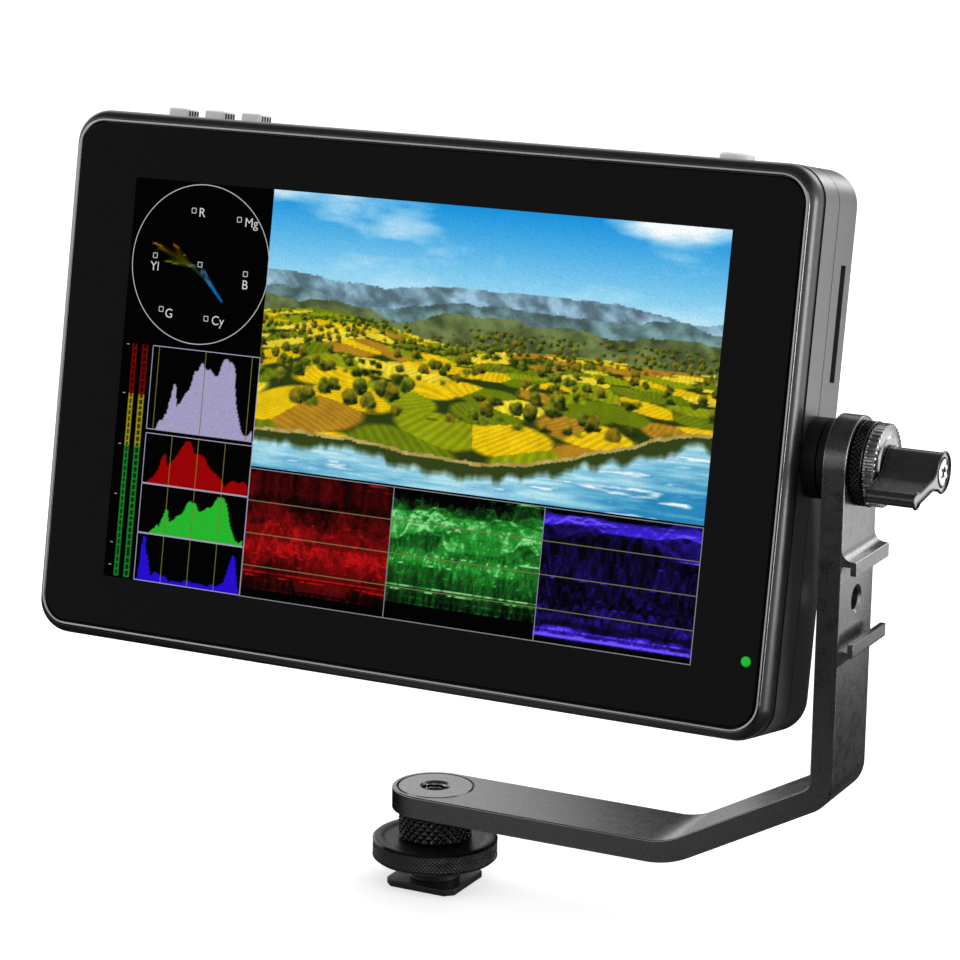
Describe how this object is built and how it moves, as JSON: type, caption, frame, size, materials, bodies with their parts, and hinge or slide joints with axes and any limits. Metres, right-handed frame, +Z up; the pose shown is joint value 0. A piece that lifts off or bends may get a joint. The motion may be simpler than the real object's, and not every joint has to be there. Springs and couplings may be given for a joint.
{
  "type": "camera field monitor",
  "caption": "Thin on-camera field monitor with a wide screen, held at one side by a bent tilt arm with a clamp lever, on a camera-shoe foot with a lock wheel.",
  "frame": {"origin": "centre of the underside of the shoe foot", "axes": "+Z up along the foot's stud, screen faces -Y, +X towards the side with the arm and lever"},
  "size_m": [0.217, 0.0481, 0.1767],
  "materials": {
    "black_metal": "black anodised, fine sandblast",
    "housing_metal": "dark grey anodised, satin",
    "bright_metal": "plain steel",
    "plate_metal": "rolled sheet",
    "chrome": "polished",
    "rubber": "matte",
    "glass": "polished",
    "panel": "display",
    "white_plastic": "matte",
    "black_plastic": "fine matte",
    "key": "satin",
    "led": "clear green",
    "board": "solder mask",
    "brass": "turned",
    "socket_metal": "plated"
  },
  "bodies": {
    "shoe_foot": {"shoe_foot": "black_metal"},
    "shoe_pad": {"shoe_pad": "rubber"},
    "lock_wheel": {"lock_wheel": "black_metal"},
    "arm_nut": {"arm_nut": "black_metal"},
    "clamp_lever": {"clamp_lever": "black_metal"},
    "tilt_arm": {"tilt_arm": "black_metal", "arm_insert": "black_metal", "friction_washer": "rubber"},
    "clamp_screw": {"clamp_screw": "black_metal", "clamp_collar": "black_metal", "cap_screw": "chrome", "lever_spring": "bright_metal"},
    "monitor": {"pivot_flange": "black_metal", "front_bezel": "housing_metal", "cover_glass": "glass", "status_led": "led", "display_panel": "panel", "backlight": "white_plastic", "heat_plate": "plate_metal", "middle_frame": "housing_metal", "rear_cover": "housing_metal", "main_board": "board", "pivot_insert": "brass", "left_insert": "brass", "card_socket": "socket_metal", "video_input": "socket_metal", "video_output": "socket_metal", "power_jack": "black_plastic", "audio_jack": "black_plastic", "key_board": "board", "battery_plate": "black_plastic", "battery_contacts": "black_plastic", "contact_blades": "brass", "fan_frame": "black_plastic", "housing_screws": "bright_metal"},
    "key_left": {"key_left": "key"},
    "key_middle": {"key_middle": "key"},
    "key_right": {"key_right": "key"},
    "power_key": {"power_key": "key"},
    "battery_latch": {"battery_latch": "black_plastic"},
    "fan_rotor": {"fan_rotor": "black_plastic"}
  },
  "joints": [
    {"name": "pad_lift", "type": "slide", "parent": "shoe_foot", "child": "shoe_pad", "axis": [0, 0, 1], "range_m": [-0.00254, 0]},
    {"name": "wheel_turn", "type": "hinge", "parent": "shoe_pad", "child": "lock_wheel", "pos_m": [0, 0, 0.0087], "axis": [0, 0, 1], "range_deg": [-720, 0]},
    {"name": "nut_turn", "type": "hinge", "parent": "shoe_foot", "child": "arm_nut", "pos_m": [0, 0, 0.0145], "axis": [0, 0, 1], "range_deg": [-90, 0]},
    {"name": "arm_swivel", "type": "hinge", "parent": "shoe_foot", "child": "tilt_arm", "pos_m": [0, 0, 0.02], "axis": [0, 0, 1], "continuous": true},
    {"name": "clamp_turn", "type": "hinge", "parent": "tilt_arm", "child": "clamp_screw", "pos_m": [0.095, 0, 0.1134], "axis": [1, 0, 0], "range_deg": [0, 180]},
    {"name": "lever_pull", "type": "slide", "parent": "clamp_screw", "child": "clamp_lever", "axis": [1, 0, 0], "range_m": [0, 0.003], "stiffness_N_per_m": 600, "springref_m": -0.002},
    {"name": "monitor_tilt", "type": "hinge", "parent": "tilt_arm", "child": "monitor", "pos_m": [0.095, 0, 0.1134], "axis": [1, 0, 0], "continuous": true},
    {"name": "key_left_press", "type": "slide", "parent": "monitor", "child": "key_left", "axis": [0, -0.1736, -0.9848], "range_m": [0, 0.0006], "stiffness_N_per_m": 900},
    {"name": "key_middle_press", "type": "slide", "parent": "monitor", "child": "key_middle", "axis": [0, -0.1736, -0.9848], "range_m": [0, 0.0006], "stiffness_N_per_m": 900},
    {"name": "key_right_press", "type": "slide", "parent": "monitor", "child": "key_right", "axis": [0, -0.1736, -0.9848], "range_m": [0, 0.0006], "stiffness_N_per_m": 900},
    {"name": "power_key_press", "type": "slide", "parent": "monitor", "child": "power_key", "axis": [0, -0.1736, -0.9848], "range_m": [0, 0.0006], "stiffness_N_per_m": 900},
    {"name": "latch_press", "type": "slide", "parent": "monitor", "child": "battery_latch", "axis": [0, -0.9848, 0.1736], "range_m": [0, 0.0018], "stiffness_N_per_m": 500},
    {"name": "fan_spin", "type": "hinge", "parent": "monitor", "child": "fan_rotor", "pos_m": [-0.0604, 0.00788, 0.11201], "axis": [0, 0.9848, -0.1736], "continuous": true}
  ],
  "couplings": [
    {"joint": "pad_lift", "follows": "wheel_turn", "m_per_rad": 0.00020213}
  ]
}
